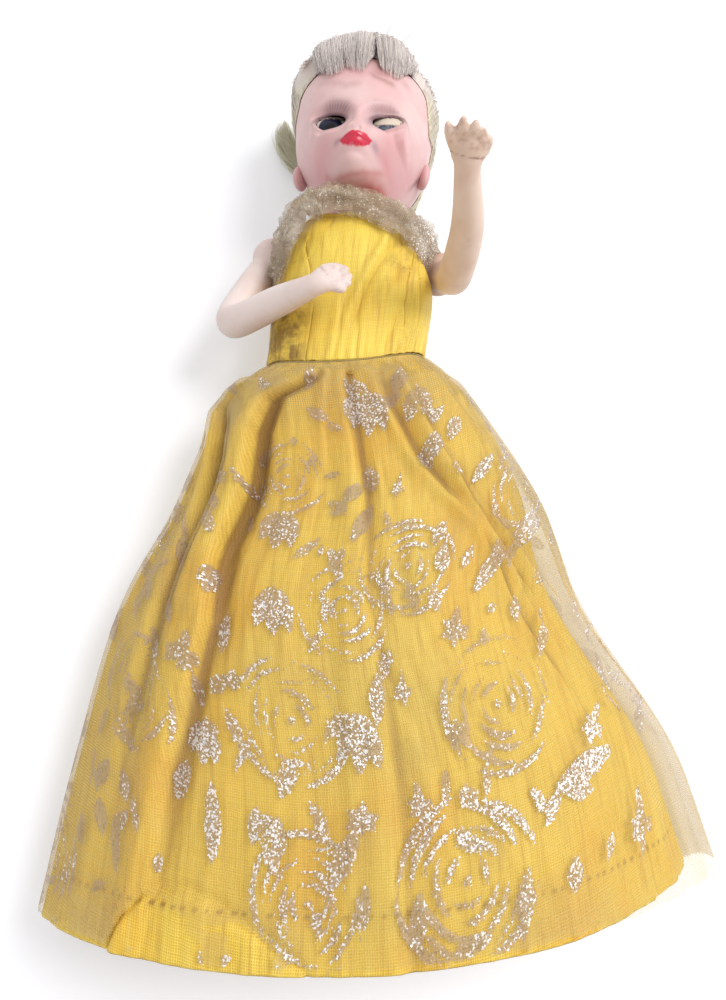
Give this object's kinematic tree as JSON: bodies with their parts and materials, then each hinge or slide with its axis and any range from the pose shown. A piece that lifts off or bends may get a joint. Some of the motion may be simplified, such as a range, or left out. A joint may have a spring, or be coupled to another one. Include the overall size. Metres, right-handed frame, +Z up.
{
  "type": "costume doll",
  "caption": "Costume doll lying on its back: moulded plastic body strung on elastic, sleep eyes, wig, satin bodice, lined brocade skirt and net stole.",
  "frame": {"origin": "on the table, under the middle of the doll's outline", "axes": "+X to the doll's left, +Y from the skirt's hem to the head, +Z up from the table out of the face"},
  "size_m": [0.117, 0.1924, 0.0639],
  "materials": {
    "head_plastic": "painted hard plastic, rosy and slightly worn",
    "body_plastic": "hard plastic, satin, yellowed",
    "eye_plastic": "glossy with painted iris and lid",
    "weight": "dull grey cast metal",
    "wire": "plain wire and sheet, dull",
    "elastic": "aged rubber cord",
    "hair": "pale ash-blond synthetic fibre",
    "satin": "glossy yellow satin",
    "brocade": "sheer gold organza with silver thread roses",
    "net": "soft beige net with silver thread"
  },
  "bodies": {
    "torso": {"torso_front_shell": "body_plastic", "torso_back_shell": "body_plastic", "arm_hook_left": "wire", "arm_hook_right": "wire", "leg_hook_left": "wire", "leg_hook_right": "wire", "head_hook": "wire", "arm_elastic": "elastic", "head_and_leg_elastic": "elastic", "bodice_front": "satin", "bodice_back_left": "satin", "bodice_back_right": "satin", "skirt_overlay": "brocade", "skirt_lining": "satin", "shoulder_stole": "net"},
    "head": {"head_front_shell": "head_plastic", "head_back_shell": "head_plastic", "hair_wig": "hair", "hair_fringe": "hair", "hair_side_lock": "hair", "eye_axle_left": "wire", "eye_axle_right": "wire", "eye_cradle_left": "wire", "eye_cradle_right": "wire"},
    "eye_left": {"eye_ball_left": "eye_plastic", "eye_weight_left": "weight"},
    "eye_right": {"eye_ball_right": "eye_plastic", "eye_weight_right": "weight"},
    "arm_left": {"arm_left": "body_plastic"},
    "arm_right": {"arm_right": "body_plastic"},
    "leg_left": {"leg_left": "body_plastic"},
    "leg_right": {"leg_right": "body_plastic"}
  },
  "joints": [
    {"name": "head_turn", "type": "hinge", "parent": "torso", "child": "head", "pos_m": [-0.0155, 0.048, 0.0145], "axis": [0, 1, 0], "range_deg": [-60, 60]},
    {"name": "eye_left_close", "type": "hinge", "parent": "head", "child": "eye_left", "pos_m": [-0.01067, 0.06044, 0.02928], "axis": [0.9962, 0, 0.0872], "range_deg": [-38, 17]},
    {"name": "eye_right_close", "type": "hinge", "parent": "head", "child": "eye_right", "pos_m": [-0.02282, 0.06044, 0.02822], "axis": [0.9962, 0, 0.0872], "range_deg": [-14, 41]},
    {"name": "arm_left_swing", "type": "hinge", "parent": "torso", "child": "arm_left", "pos_m": [0.0031, 0.03784, 0.0145], "axis": [1, 0, 0], "range_deg": [-90, 42]},
    {"name": "arm_right_swing", "type": "hinge", "parent": "torso", "child": "arm_right", "pos_m": [-0.0343, 0.03784, 0.0145], "axis": [1, 0, 0], "range_deg": [-60, 4]},
    {"name": "hip_left_swing", "type": "hinge", "parent": "torso", "child": "leg_left", "pos_m": [-0.0057, -0.00676, 0.0145], "axis": [-1, 0, 0], "range_deg": [0, 60], "deforming": ["skirt_overlay", "skirt_lining"]},
    {"name": "hip_right_swing", "type": "hinge", "parent": "torso", "child": "leg_right", "pos_m": [-0.0253, -0.00676, 0.0145], "axis": [-1, 0, 0], "range_deg": [0, 60]}
  ],
  "couplings": [
    {"joint": "hip_right_swing", "follows": "hip_left_swing", "ratio": 1}
  ]
}
